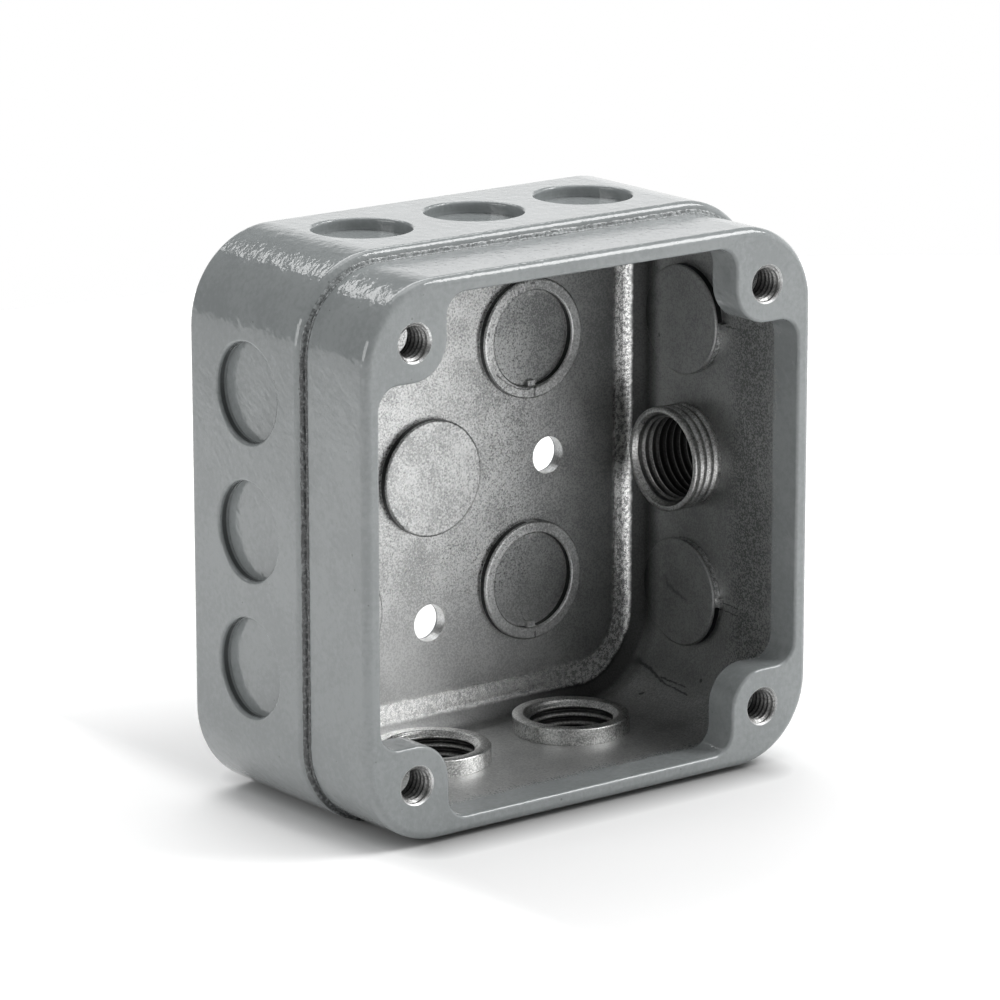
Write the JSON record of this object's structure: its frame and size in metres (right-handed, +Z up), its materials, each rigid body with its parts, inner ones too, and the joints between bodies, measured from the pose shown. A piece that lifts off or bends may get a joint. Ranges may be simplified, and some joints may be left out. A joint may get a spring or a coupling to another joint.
{
  "type": "electrical box",
  "caption": "Square deep steel electrical box with an open front, eared screw ring, knockouts and threaded conduit hubs.",
  "frame": {"origin": "middle of the bottom wall's outer face, halfway between the open side and the back, on the box's centre plane", "axes": "+X to the right seen from the open side, +Y from the open side to the back wall, +Z up"},
  "size_m": [0.1284, 0.0602, 0.1224],
  "materials": {
    "grey_enamel": "gloss",
    "bare_steel": "satin"
  },
  "bodies": {
    "root": {"rear_shell": "grey_enamel", "front_ring": "grey_enamel", "seam_weld": "grey_enamel", "side_hub": "bare_steel", "bottom_hub_right": "bare_steel", "bottom_hub_left": "bare_steel"}
  },
  "joints": []
}
